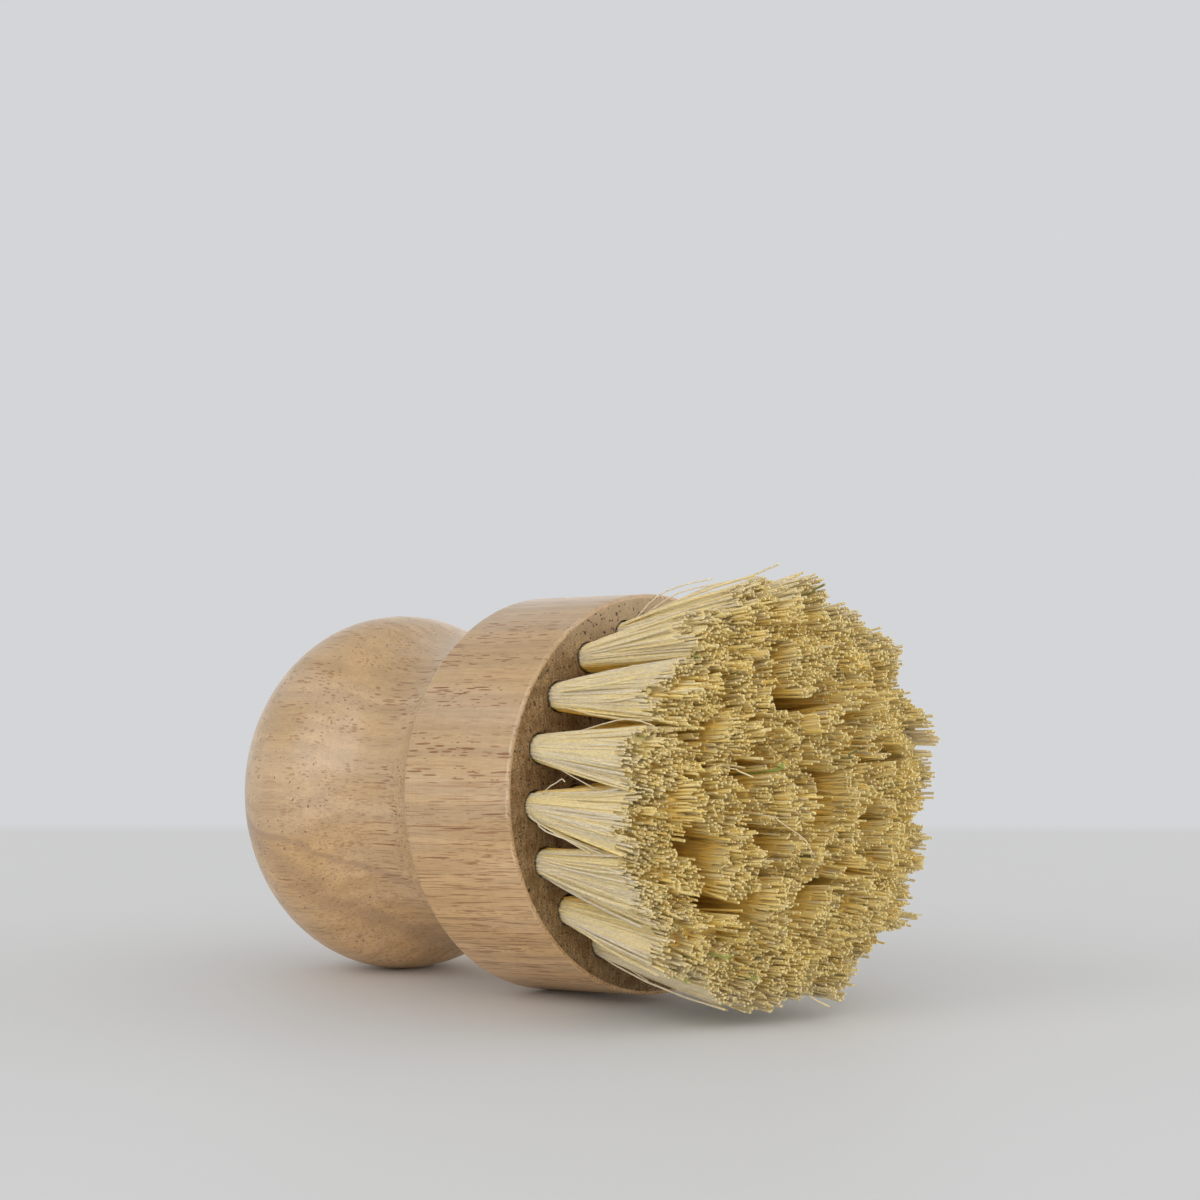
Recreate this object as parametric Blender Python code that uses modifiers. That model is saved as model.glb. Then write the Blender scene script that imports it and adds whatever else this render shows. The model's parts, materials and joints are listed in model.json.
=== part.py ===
"""Palm dish brush lying on its side, as it rests on a table.

A turned wooden handle carries 37 tufts of stiff plant fibre in blind holes. A tuft is a bundle that is
folded at the bottom of its hole under a small steel anchor, whose two prongs bite into the wood below.

The brush is modelled about its own axis, with the tuft face at z = 0, the fibres towards +z and the
knob towards -z. An empty then lays it on its side, where it rests on its shoulder and its knob.
Lengths are in metres.
"""

import math
import random

import bmesh
import bpy
from mathutils import Matrix, Vector

MM = 0.001

# Handle, turned from one block
HEAD_RADIUS = 27.0 * MM
HEAD_LENGTH = 20.3 * MM
RIM_ROUND = 0.5 * MM
SHOULDER_ROUND = 1.0 * MM
NECK_RADIUS = 20.7 * MM
NECK_FROM_SHOULDER = 12.8 * MM
FLARE_POWER = 2.4
KNOB_RADIUS = 25.3 * MM
KNOB_FROM_NECK = 17.5 * MM
WAIST_TURN_SHARE = 0.53
KNOB_END_LENGTH = 11.7 * MM
KNOB_END_DROP = 5.5 * MM
DOME_POWER = 2.15
END_ROUND = 2.0 * MM
CURVE_STEPS = 6
ROUND_STEPS = 3
TURNING_STEPS = 48

# Blind holes, in rings about the axis
RING_COUNTS = (1, 6, 12, 18)
RING_NAMES = ("centre", "inner", "middle", "outer")
RING_TURNS = (0.0, math.radians(30.0), 0.0, math.radians(10.8))
EDGE_TO_OUTER_RING = 5.1 * MM
HOLE_RADIUS = 2.15 * MM
HOLE_DEPTH = 9.0 * MM
HOLE_SIDES = 12

# Tufts
CLEARANCE = 0.3 * MM
ROOT_PROUD = 0.35 * MM
FIBRE_LENGTH = 26.2 * MM
TRIM_SCATTER = 2.2 * MM
SPLAY = 0.155
TUFT_GAP = 0.3 * MM
STRAND_COUNTS = (3, 9)
STRAND_RING_SHARES = (0.42, 1.0)
STRAND_SIDES = 3
STRAND_ROOT_RADIUS = 0.34 * MM
STRAND_TIP_RADIUS = 0.8 * MM
STRAND_BITE = 0.6 * MM
SCATTER_SEED = 7

# Anchors, of flat wire
WIRE_WIDTH = 1.1 * MM
WIRE_THICKNESS = 0.5 * MM
ANCHOR_WIDTH = 2.6 * MM
FOLD_THICKNESS = 1.2 * MM
PRONG_LENGTH = 2.8 * MM

CUT_OVERRUN = 1.0 * MM
MERGE = 0.01 * MM
SHARP_ANGLE = math.radians(35.0)

# Places and sizes that follow from the ones above
NECK_AT = HEAD_LENGTH + NECK_FROM_SHOULDER
KNOB_AT = NECK_AT + KNOB_FROM_NECK
HANDLE_LENGTH = KNOB_AT + KNOB_END_LENGTH
OUTER_RING = len(RING_COUNTS) - 1
RING_PITCH = (HEAD_RADIUS - EDGE_TO_OUTER_RING) / OUTER_RING
TUFT_RADIUS = HOLE_RADIUS - CLEARANCE
TUFT_FOOT = HOLE_DEPTH - CLEARANCE
PRONG_END = TUFT_FOOT + PRONG_LENGTH


def clear_scene():
    for obj in list(bpy.data.objects):
        bpy.data.objects.remove(obj)


def new_collection(name):
    group = bpy.data.collections.new(name)
    bpy.context.scene.collection.children.link(group)
    return group


def new_material(name, colour, roughness):
    made = bpy.data.materials.new(name)
    made.use_nodes = True
    shader = made.node_tree.nodes["Principled BSDF"]
    shader.inputs["Base Color"].default_value = (*colour, 1.0)
    shader.inputs["Roughness"].default_value = roughness
    shader.inputs["Metallic"].default_value = 0.0
    return made


def new_object(name, mesh, group):
    obj = bpy.data.objects.new(name, mesh)
    group.objects.link(obj)
    return obj


def new_cutter(name, mesh, group):
    obj = new_object(name, mesh, group)
    obj.hide_render = True
    obj.display_type = "WIRE"
    return obj


def add_boolean(obj, other, operation):
    cut = obj.modifiers.new(operation.lower(), "BOOLEAN")
    cut.operation = operation
    cut.solver = "EXACT"
    cut.object = other


def finished_mesh(obj, name, material):
    """The object's mesh with its modifiers applied, smooth except at its edges."""
    graph = bpy.context.evaluated_depsgraph_get()
    mesh = bpy.data.meshes.new_from_object(obj.evaluated_get(graph))
    mesh.name = name
    mesh.materials.clear()
    mesh.materials.append(material)
    mesh.shade_smooth()
    mesh.set_sharp_from_angle(angle=SHARP_ANGLE)
    return mesh


def mesh_from(bm, name):
    bmesh.ops.recalc_face_normals(bm, faces=bm.faces)
    mesh = bpy.data.meshes.new(name)
    bm.to_mesh(mesh)
    bm.free()
    return mesh


def rounded_corner(before, corner, after, radius):
    """Points that round a corner of the profile, within half of its shorter side."""
    before, corner, after = Vector(before), Vector(corner), Vector(after)
    back = (before - corner).normalized()
    ahead = (after - corner).normalized()
    shorter = min((before - corner).length, (after - corner).length)
    reach = min(radius / math.tan(back.angle(ahead) / 2), shorter / 2)
    start = corner + back * reach
    end = corner + ahead * reach
    points = []
    for step in range(ROUND_STEPS + 1):
        share = step / ROUND_STEPS
        points.append(start.lerp(corner, share).lerp(corner.lerp(end, share), share))
    return points


def flare_points():
    """The waist from the shoulder to the neck, steepest at the shoulder."""
    points = []
    for step in range(1, CURVE_STEPS):
        share = 1 - step / CURVE_STEPS
        rise = (HEAD_RADIUS - NECK_RADIUS) * share**FLARE_POWER
        points.append((NECK_RADIUS + rise, share * NECK_FROM_SHOULDER - NECK_AT))
    return points


def waist_points():
    """The waist from the neck to the knob: two parabolas that meet where the curve turns over."""
    steps = 2 * CURVE_STEPS
    points = []
    for step in range(steps):
        share = step / steps
        if share < WAIST_TURN_SHARE:
            lift = share**2 / WAIST_TURN_SHARE
        else:
            lift = 1 - (1 - share) ** 2 / (1 - WAIST_TURN_SHARE)
        rise = (KNOB_RADIUS - NECK_RADIUS) * lift
        points.append((NECK_RADIUS + rise, -NECK_AT - share * KNOB_FROM_NECK))
    return points


def dome_points():
    """The knob from its widest ring to its flat end."""
    points = []
    for step in range(CURVE_STEPS + 1):
        share = step / CURVE_STEPS
        drop = KNOB_END_DROP * share**DOME_POWER
        points.append((KNOB_RADIUS - drop, -KNOB_AT - share * KNOB_END_LENGTH))
    return points


def handle_profile():
    """(radius, z) down the handle's outer side, from the middle of the tuft face to that of its end."""
    face_middle = (0.0, 0.0)
    rim = (HEAD_RADIUS, 0.0)
    shoulder = (HEAD_RADIUS, -HEAD_LENGTH)
    end_middle = (0.0, -HANDLE_LENGTH)
    flare = flare_points()
    dome = dome_points()
    points = [face_middle]
    points += rounded_corner(face_middle, rim, shoulder, RIM_ROUND)
    points += rounded_corner(rim, shoulder, flare[0], SHOULDER_ROUND)
    points += flare + waist_points() + dome[:-1]
    points += rounded_corner(dome[-2], dome[-1], end_middle, END_ROUND)
    points.append(end_middle)
    return [(point[0], point[1]) for point in points]


def turned_object(name, profile, group):
    """A body of revolution about Z, from a profile that starts and ends on the axis."""
    corners = [(radius, 0.0, z) for radius, z in profile]
    edges = [(step, step + 1) for step in range(len(corners) - 1)]
    mesh = bpy.data.meshes.new(name)
    mesh.from_pydata(corners, edges, [])
    obj = new_object(name, mesh, group)
    screw = obj.modifiers.new("turning", "SCREW")
    screw.steps = TURNING_STEPS
    screw.render_steps = TURNING_STEPS
    screw.use_merge_vertices = True
    screw.merge_threshold = MERGE
    # Half a step of turning puts a flat, not an edge, under the brush when it lies down.
    obj.rotation_euler.z = math.pi / TURNING_STEPS
    return obj


def hole_places():
    """Each hole's name, its ring and its frame, which has +x pointing out from the axis."""
    places = []
    for ring, count in enumerate(RING_COUNTS):
        for step in range(count):
            name = f"{RING_NAMES[ring]}_{step + 1:02d}" if count > 1 else RING_NAMES[ring]
            turn = Matrix.Rotation(RING_TURNS[ring] + step * math.tau / count, 4, "Z")
            places.append((name, ring, turn @ Matrix.Translation((ring * RING_PITCH, 0.0, 0.0))))
    return places


def add_box(bm, low, high, place):
    low, high = Vector(low), Vector(high)
    shape = Matrix.Translation((low + high) / 2) @ Matrix.Diagonal((*(high - low), 1.0))
    bmesh.ops.create_cube(bm, size=1.0, matrix=place @ shape)


def add_cone(bm, sides, bottom_radius, top_radius, bottom, top, roll=0.0):
    """A cylinder or a cone between two points on its axis."""
    along = top - bottom
    stand = along.to_track_quat("Z", "X").to_matrix().to_4x4() @ Matrix.Rotation(roll, 4, "Z")
    bmesh.ops.create_cone(
        bm,
        cap_ends=True,
        segments=sides,
        radius1=bottom_radius,
        radius2=top_radius,
        depth=along.length,
        matrix=Matrix.Translation((bottom + top) / 2) @ stand,
    )


def add_prongs(bm, room, top, place):
    """An anchor's two prongs, or the room that they need in the wood."""
    across = WIRE_WIDTH / 2 + room
    outer = ANCHOR_WIDTH / 2 + room
    inner = ANCHOR_WIDTH / 2 - WIRE_THICKNESS - room
    for near, far in ((inner, outer), (-outer, -inner)):
        add_box(bm, (-across, near, -PRONG_END - room), (across, far, top), place)


def drill_mesh(places):
    bm = bmesh.new()
    bottom = Vector((0.0, 0.0, -HOLE_DEPTH))
    top = Vector((0.0, 0.0, CUT_OVERRUN))
    for _, _, place in places:
        add_cone(bm, HOLE_SIDES, HOLE_RADIUS, HOLE_RADIUS, place @ bottom, place @ top)
    return mesh_from(bm, "drills")


def prong_pocket_mesh(places):
    """The pockets under each hole that the prongs press into."""
    bm = bmesh.new()
    for _, _, place in places:
        add_prongs(bm, CLEARANCE, -TUFT_FOOT, place)
    return mesh_from(bm, "prong_pockets")


def make_handle(places, axis, group, cutters, material):
    body = turned_object("handle_body", handle_profile(), cutters)
    add_boolean(body, new_cutter("drills", drill_mesh(places), cutters), "DIFFERENCE")
    add_boolean(body, new_cutter("prong_pockets", prong_pocket_mesh(places), cutters), "DIFFERENCE")
    handle = new_object("handle", finished_mesh(body, "handle", material), group)
    handle.parent = axis
    handle.rotation_euler = body.rotation_euler
    bpy.data.objects.remove(body)


def strand_spots():
    """Where the strands stand in a tuft, in a disc of radius one."""
    spots = []
    for count, out_share in zip(STRAND_COUNTS, STRAND_RING_SHARES):
        for step in range(count):
            angle = step * math.tau / count
            spots.append(Vector((math.cos(angle), math.sin(angle), 0.0)) * out_share)
    return spots


def strands_mesh(ring, chance):
    """The strands of one tuft: they widen and fan out, and are cut off a little unevenly."""
    root_spread = TUFT_RADIUS * math.cos(math.pi / HOLE_SIDES) - STRAND_ROOT_RADIUS
    tip_spread = RING_PITCH * (1 + SPLAY) / 2 - TUFT_GAP - STRAND_TIP_RADIUS
    lean = Vector((ring * RING_PITCH * SPLAY, 0.0, 0.0))
    bottom = Vector((0.0, 0.0, ROOT_PROUD - STRAND_BITE))
    top = Vector((0.0, 0.0, FIBRE_LENGTH))
    bm = bmesh.new()
    for spot in strand_spots():
        root = spot * root_spread + bottom
        uncut_tip = spot * tip_spread + lean + top
        tip = root.lerp(uncut_tip, 1 - TRIM_SCATTER * chance.random() / FIBRE_LENGTH)
        roll = chance.random() * math.tau
        add_cone(bm, STRAND_SIDES, STRAND_ROOT_RADIUS, STRAND_TIP_RADIUS, root, tip, roll)
    return mesh_from(bm, "strands")


def root_mesh():
    """The packed root of a tuft."""
    bm = bmesh.new()
    foot = Vector((0.0, 0.0, -TUFT_FOOT))
    top = Vector((0.0, 0.0, ROOT_PROUD))
    add_cone(bm, HOLE_SIDES, TUFT_RADIUS, TUFT_RADIUS, foot, top)
    return mesh_from(bm, "root")


def prongs_mesh():
    """The prongs of the anchor that holds the fold, from inside the root down."""
    bm = bmesh.new()
    add_prongs(bm, 0.0, FOLD_THICKNESS - TUFT_FOOT, Matrix())
    return mesh_from(bm, "prongs")


def make_tufts(places, axis, group, cutters, material):
    """Each tuft with its strands, its packed root and the prongs of its anchor joined into one piece."""
    chance = random.Random(SCATTER_SEED)
    root = new_object("root", root_mesh(), cutters)
    prongs = new_cutter("prongs", prongs_mesh(), cutters)
    strands = new_cutter("strands", strands_mesh(0, chance), cutters)
    add_boolean(root, prongs, "UNION")
    add_boolean(root, strands, "UNION")
    for name, ring, place in places:
        strands.data = strands_mesh(ring, chance)
        bpy.context.view_layer.update()
        tuft = new_object(f"tuft_{name}", finished_mesh(root, f"tuft_{name}", material), group)
        tuft.parent = axis
        tuft.location = place.translation
        tuft.rotation_euler = place.to_euler()
    bpy.data.objects.remove(root)


def resting_slope():
    """How fast the axis rises towards the fibres when the brush lies on its shoulder and its knob."""
    flat_share = math.cos(math.pi / TURNING_STEPS)
    outline = [(z, radius * flat_share) for radius, z in handle_profile()]
    knob = [point for point in outline if point[0] < -NECK_AT]
    head = [point for point in outline if point[0] > -NECK_AT]
    lines = []
    for back_z, back_radius in knob:
        for front_z, front_radius in head:
            slope = (front_radius - back_radius) / (front_z - back_z)
            radius_at_neck = back_radius + slope * (-NECK_AT - back_z)
            lines.append((radius_at_neck, slope))
    return max(lines)[1]


def lay_down(axis, group):
    """Tips the brush onto its side and puts the middle of its box's underside at the origin."""
    axis.rotation_euler.y = math.pi / 2 - math.atan(resting_slope())
    bpy.context.view_layer.update()
    corners = []
    for obj in group.objects:
        if obj != axis:
            corners += [obj.matrix_world @ vert.co for vert in obj.data.vertices]
    low = Vector([min(corner[side] for corner in corners) for side in range(3)])
    high = Vector([max(corner[side] for corner in corners) for side in range(3)])
    axis.location = (-(low.x + high.x) / 2, -(low.y + high.y) / 2, -low.z)
    bpy.context.view_layer.update()


def main():
    clear_scene()
    brush = new_collection("dish_brush")
    cutters = new_collection("cutters")
    wood = new_material("turned_wood", (0.56, 0.38, 0.24), 0.42)
    fibre = new_material("plant_fibre", (0.74, 0.62, 0.34), 0.6)
    axis = new_object("brush_axis", None, brush)
    places = hole_places()
    make_handle(places, axis, brush, cutters, wood)
    make_tufts(places, axis, brush, cutters, fibre)
    lay_down(axis, brush)


main()
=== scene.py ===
"""Looks of the palm dish brush: its turned wood, its plant fibres, and the table and light around it.

Lengths are in metres, and MM turns millimetres into them. The brush's own frame has its tuft face at
z = 0, the fibres towards +z and the knob towards -z, as in the model's source. Every piece is made
there and laid down as the model lies.
"""

import json
import math

import bmesh
import bpy
import numpy as np
from mathutils import Matrix, Vector


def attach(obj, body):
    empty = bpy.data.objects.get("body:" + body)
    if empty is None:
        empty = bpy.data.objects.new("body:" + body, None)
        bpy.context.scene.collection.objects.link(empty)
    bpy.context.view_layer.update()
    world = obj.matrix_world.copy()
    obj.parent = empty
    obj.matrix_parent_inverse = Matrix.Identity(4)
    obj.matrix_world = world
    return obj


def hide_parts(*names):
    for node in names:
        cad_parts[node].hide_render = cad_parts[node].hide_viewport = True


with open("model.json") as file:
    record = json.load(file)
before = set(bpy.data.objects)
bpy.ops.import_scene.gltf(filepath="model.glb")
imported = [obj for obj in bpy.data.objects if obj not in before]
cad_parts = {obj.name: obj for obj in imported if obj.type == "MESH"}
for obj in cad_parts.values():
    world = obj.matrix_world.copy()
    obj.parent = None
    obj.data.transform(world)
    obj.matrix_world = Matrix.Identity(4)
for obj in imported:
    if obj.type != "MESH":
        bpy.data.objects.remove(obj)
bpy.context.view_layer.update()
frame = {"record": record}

MM = 0.001

# Handle, as in the model
HEAD_RADIUS = 27.0 * MM
HEAD_LENGTH = 20.3 * MM
RIM_ROUND = 0.5 * MM
SHOULDER_ROUND = 1.0 * MM
NECK_RADIUS = 20.7 * MM
NECK_FROM_SHOULDER = 12.8 * MM
FLARE_POWER = 2.4
KNOB_RADIUS = 25.3 * MM
KNOB_FROM_NECK = 17.5 * MM
WAIST_TURN_SHARE = 0.53
KNOB_END_LENGTH = 11.7 * MM
KNOB_END_DROP = 5.5 * MM
DOME_POWER = 2.15
END_ROUND = 2.0 * MM
NECK_AT = HEAD_LENGTH + NECK_FROM_SHOULDER
KNOB_AT = NECK_AT + KNOB_FROM_NECK
HANDLE_LENGTH = KNOB_AT + KNOB_END_LENGTH
CURVE_STEPS = 16
ROUND_STEPS = 6
TURNING_STEPS = 256
SHARP_ANGLE = math.radians(30.0)
FLAT_NORMAL = 0.9999

# Holes and tufts, as in the model
RING_COUNTS = (1, 6, 12, 18)
RING_NAMES = ("centre", "inner", "middle", "outer")
RING_TURNS = (0.0, math.radians(30.0), 0.0, math.radians(10.8))
RING_PITCH = 7.3 * MM
HOLE_RADIUS = 2.15 * MM
HOLE_DEPTH = 9.0 * MM
HOLE_SIDES = 40
SAWN_DEPTH = 1.1 * HOLE_DEPTH
FIBRE_LENGTH = 26.2 * MM
SPLAY = 0.155

# Fibres: how many a tuft has, and how thick they are
INSIDE_FIBRES = 320
OUTER_FIBRES = 480
FIBRE_RADIUS = 0.16 * MM
RADIUS_VARIATION = 0.17
RADIUS_SHARES = (0.6, 1.45)
FIBRE_SIDES = 5
FIBRE_SWELLING = (0.92, 0.94, 0.97, 1.0, 1.03, 1.06)
FIBRE_STATIONS = (-2.5 * MM, 0.3 * MM, 4.0 * MM, 11.0 * MM, 19.0 * MM, FIBRE_LENGTH)
CUT_SLANT_SHARE = 0.5
CUT_ANGLE = math.radians(60.0)

# How they fan out: how far a tuft's edge lies from its middle, at the root and, along x and y, at the
# tips. A few wild ones end further off and bend more.
ROOT_SPREAD = 1.78 * MM
INSIDE_SPREAD = (4.3 * MM, 3.65 * MM)
OUTER_SPREAD = (4.9 * MM, 5.5 * MM)
INSIDE_FAN_POWER = 0.95
OUTER_FAN_POWER = 0.94
FIBRE_BOW = 0.16 * MM
TIP_SCATTER = 0.08 * MM
SPOT_SCATTER = 0.45
WILD_SHARE = 0.06
WILD_SCATTER = 1.0 * MM
WILD_BOW = 1.5
LOBE_SHARE = 0.14
THIRD_LOBE_SHARE = 0.7
CLUMPS = 16
CLUMP_REACH = 0.25
CLUMP_PULL = 0.6

# How they are cut: in a low dome over the whole face, each tuft at a slope, its clumps uneven, and some
# fibres longer or shorter than those around them
DOME_RISE = 2.6 * MM
DOME_DROP = 3.8 * MM
DOME_REACH = 27.0 * MM
SLOPE_VARIATION = 0.4 * MM
CLUMP_RISE = 1.15 * MM
LENGTH_VARIATION = 0.34 * MM
LONG_SHARE = 0.07
LONG_BY = (0.3 * MM, 1.8 * MM)
SHORT_SHARE = 0.15
SHORT_LEAST = 0.4 * MM
SHORT_RANGE = 1.6 * MM
TABLE_GAP = 0.3 * MM
TABLE_SOFTNESS = 0.5 * MM

# The close pack of fibres under a tuft's outermost ones, as one body
PACK_SIDES = 40
PACK_RINGS = (0.95, 0.62, 0.31)
PACK_DROP = 2.3 * MM
PACK_LEVELLING = 0.3
PACK_TOP_ALONG = 0.9

# Tones of the fibres, from cream at 0 to golden, and past that the odd brown, green and nearly black ones
INSIDE_TONE = 0.54
# Fibres turned out of the brush are made paler: painted light
PAINTED_LIGHT_ON_TURNED_OUT = 0.40
TONE_VARIATION = 0.14
GOLDEN_TONE = 0.88
ODD_SHARE = 0.005
ODD_TONES = (0.93, 1.0)
PACK_TONE = 0.60
PAINTED_LIGHT_ON_PACK_SIDE = 0.28
FIBRE_SHADES = (
    (0.0, (0.635, 0.557, 0.41)),
    (0.5, (0.755, 0.61, 0.265)),
    (GOLDEN_TONE, (0.775, 0.58, 0.17)),
    (ODD_TONES[0], (0.56, 0.40, 0.22)),
    (0.965, (0.33, 0.38, 0.10)),
    (ODD_TONES[1], (0.13, 0.10, 0.05)),
)

# How far a fibre of an outer tuft is turned out of the brush, and how much painted golden shade that leaves
# in its depths
OUTWARD_GAIN = 0.9
OUTWARD_ALL_ROUND = 0.45
OUTWARD_LEAST = -0.2
GOLD_MOST = 0.92
GOLD_UNTIL = 0.42
GOLD_FADE = 0.30
PACK_GOLD_SHARE = 0.9

GOLDEN_ANGLE = math.pi * (3 - math.sqrt(5))
FIRST_SEED = 100

# How single tufts stand, as the photograph shows them, in millimetres: how far their tips are out of
# the dome, how far they lean along +y and how far along +x
TUFT_LEANS = {
    "centre": (-4.5, 0.0, 0.0),
    "inner_01": (0.0, 0.8, 0.0),
    "inner_02": (-0.8, 0.9, 0.0),
    "inner_03": (-0.5, 0.5, 0.0),
    "inner_04": (0.0, 1.0, 0.0),
    "inner_05": (1.2, 2.2, 0.2),
    "inner_06": (0.1, 1.5, 0.0),
    "middle_01": (1.6, 2.0, 0.0),
    "middle_09": (0.8, 1.3, 0.2),
    "middle_10": (0.8, 1.3, 0.0),
    "middle_11": (1.1, 1.5, 0.0),
    "middle_12": (1.4, 1.6, 0.0),
    "outer_01": (0.0, 0.0, -2.4),
    "outer_02": (-0.4, 0.0, -2.8),
    "outer_03": (-1.2, 0.0, -0.8),
    "outer_04": (-1.2, 0.0, 0.0),
    "outer_05": (-1.2, 0.0, 0.0),
    "outer_06": (-1.2, 0.0, 0.5),
    "outer_07": (-1.0, -0.6, 1.6),
    "outer_08": (-0.6, -0.4, 2.2),
    "outer_09": (0.0, 0.0, 1.8),
    "outer_10": (0.0, 0.0, 1.1),
    "outer_11": (-0.2, 0.3, 1.0),
    "outer_12": (-0.4, 0.3, 2.2),
    "outer_13": (-0.4, 0.0, 2.2),
    "outer_14": (-0.4, 0.0, 1.5),
    "outer_15": (-0.4, 0.0, 1.3),
    "outer_16": (-0.3, 0.2, 1.2),
    "outer_17": (-0.2, 0.0, -1.0),
    "outer_18": (0.0, 0.0, -1.9),
}

# The other tufts stand more or less at random: the mean and the variation of the same three
LOOSE_LEANS = ((0.0, 0.4), (0.3, 0.5), (0.0, 0.3))

# Tufts that fan out less than the others, along x and y
WIDTH_SHARES = {"inner_02": (1.0, 0.66), "outer_12": (0.84, 1.0), "outer_13": (0.94, 1.0)}

# Camera, solved from the photograph's rims, floor contacts and horizon
IMAGE_SIDE = 1200
FOCAL_PIXELS = 3898.2
SENSOR_MM = 36.0
CAMERA_AT = Vector((386.25, -373.47, 72.77)) * MM
CAMERA_HEADING = math.radians(45.413)
CAMERA_PITCH = math.radians(2.029)
CAMERA_ROLL = math.radians(0.074)

# Where the camera turns, and how the brush lies
LEVEL = Vector((-math.sin(CAMERA_HEADING), math.cos(CAMERA_HEADING), 0.0))
AHEAD = LEVEL * math.cos(CAMERA_PITCH) - Vector((0.0, 0.0, math.sin(CAMERA_PITCH)))
RIGHT = AHEAD.cross(Vector((0.0, 0.0, 1.0))).normalized()
LENS_TURN = Matrix((RIGHT, RIGHT.cross(AHEAD), -AHEAD)).transposed() @ Matrix.Rotation(CAMERA_ROLL, 3, "Z")
END_MOUNT = frame["record"]["mounts"][0]
TOWARDS_FIBRES = -Vector(END_MOUNT["axis"]).normalized()
BRUSH = (
    Matrix.Translation(END_MOUNT["pos_m"])
    @ Matrix.Rotation(math.pi / 2 - math.asin(TOWARDS_FIBRES.z), 4, "Y")
    @ Matrix.Translation((0.0, 0.0, HANDLE_LENGTH))
)

# Fibres out of line. Each has a radius in millimetres, a tone and the points it passes: a pixel of the
# photograph, and how many millimetres above the tuft face it is there.
STRAYS = (
    (
        0.075,
        0.10,
        ((757, 813, 29.6), (785, 826, 30.3), (803, 838, 30.7), (811, 850, 30.8), (812, 865, 30.4)),
    ),
    (0.11, 0.30, ((790, 985, 24.0), (812, 998, 25.5), (830, 1007, 27.0))),
    (0.10, 0.05, ((655, 598, 6.0), (684, 585, 11.0), (712, 579, 15.0))),
    (0.10, 0.05, ((672, 596, 9.0), (715, 584, 15.0), (757, 577, 21.0))),
    (0.12, 0.10, ((700, 590, 13.0), (745, 578, 20.0), (779, 564, 27.0))),
    (0.16, 0.99, ((800, 596, 24.5), (813, 590, 27.0), (825, 584, 29.0))),
    (0.19, 0.965, ((770, 771, 28.4), (777, 767, 29.4), (785, 763, 30.2))),
    (0.16, 0.97, ((715, 955, 26.5), (724, 957, 28.0), (733, 955, 29.4))),
    (0.13, 0.99, ((838, 758, 27.5), (848, 755, 29.0), (858, 750, 30.2))),
    (0.13, 0.94, ((700, 770, 26.0), (725, 765, 28.0), (745, 768, 29.6))),
    (0.10, 0.20, ((722, 767, 27.0), (738, 771, 29.0), (753, 777, 30.2))),
    (0.11, 0.10, ((600, 846, 12.0), (622, 857, 16.5), (645, 868, 21.5))),
    (0.09, 0.05, ((600, 682, 12.0), (631, 666, 18.4), (662, 667, 24.6))),
    (0.09, 0.10, ((610, 722, 16.0), (634, 720, 21.0), (652, 725, 25.0))),
    (0.11, 0.00, ((552, 760, 5.0), (591, 776, 13.5), (634, 789, 22.0))),
    (0.09, 0.05, ((552, 764, 5.0), (579, 780, 11.0), (607, 795, 17.0))),
    (0.08, 0.05, ((548, 788, 5.0), (556, 783, 7.0), (562, 779, 8.5), (565, 782, 9.2))),
    (0.11, 0.00, ((542, 829, 4.5), (579, 844, 12.0), (616, 861, 19.6))),
    (0.09, 0.10, ((530, 817, 2.0), (558, 835, 7.7), (591, 854, 14.5))),
    (0.10, 0.05, ((575, 893, 8.0), (602, 900, 13.5), (628, 915, 19.0))),
    (0.11, 0.15, ((606, 954, 3.0), (628, 968, 6.5), (648, 981, 10.0))),
)
STRAY_STEPS = 14
STRAY_MOUTH_SHARE = 0.15


def node(tree, kind, sockets=None, **settings):
    """A shader node with its settings, and its sockets set to values or linked to other nodes."""
    made = tree.nodes.new(kind)
    for name, value in settings.items():
        setattr(made, name, value)
    for name, value in (sockets or {}).items():
        if isinstance(value, bpy.types.NodeSocket):
            tree.links.new(value, made.inputs[name])
        else:
            made.inputs[name].default_value = value
    return made


def calculate(tree, operation, first, second=0.0, third=0.0):
    return node(tree, "ShaderNodeMath", {0: first, 1: second, 2: third}, operation=operation).outputs[0]


def product(tree, first, second):
    return calculate(tree, "MULTIPLY", first, second)


def vector(tree, operation, first, second):
    return node(tree, "ShaderNodeVectorMath", {0: first, 1: second}, operation=operation).outputs[0]


def along_way(tree, place, way):
    """How far a place lies along a unit vector."""
    return node(tree, "ShaderNodeVectorMath", {0: place, 1: way}, operation="DOT_PRODUCT").outputs[1]


def stretched(tree, place, across, along):
    """The place in units of `across` millimetres over the grain and `along` millimetres along it."""
    return vector(tree, "MULTIPLY", place, (1 / across, 1 / across, 1 / along))


def ramp(tree, value, low, high, start=0.0, end=1.0):
    sockets = {"Value": value, "From Min": low, "From Max": high, "To Min": start, "To Max": end}
    return node(tree, "ShaderNodeMapRange", sockets, interpolation_type="SMOOTHSTEP").outputs[0]


def noise(tree, place, detail=2.0, rough=0.5):
    sockets = {"Vector": place, "Scale": 1.0, "Detail": detail, "Roughness": rough}
    return node(tree, "ShaderNodeTexNoise", sockets).outputs[0]


def mixed(tree, share, first, second, how="MIX"):
    sockets = {0: share, 6: first, 7: second}
    return node(tree, "ShaderNodeMix", sockets, data_type="RGBA", blend_type=how).outputs[2]


def shaded(tree, base, value, low, high, darkest, lightest):
    """The base colour made darker and lighter as the value goes from low to high."""
    return mixed(tree, 1.0, base, ramp(tree, value, low, high, darkest, lightest), "MULTIPLY")


def bump(tree, height, strength, distance):
    sockets = {"Strength": strength, "Distance": distance, "Height": height}
    return node(tree, "ShaderNodeBump", sockets).outputs[0]


def colour(red, green, blue):
    return (red, green, blue, 1.0)


def new_material(name):
    made = bpy.data.materials.new(name)
    made.use_nodes = True
    made.node_tree.nodes.clear()
    return made, made.node_tree


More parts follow.
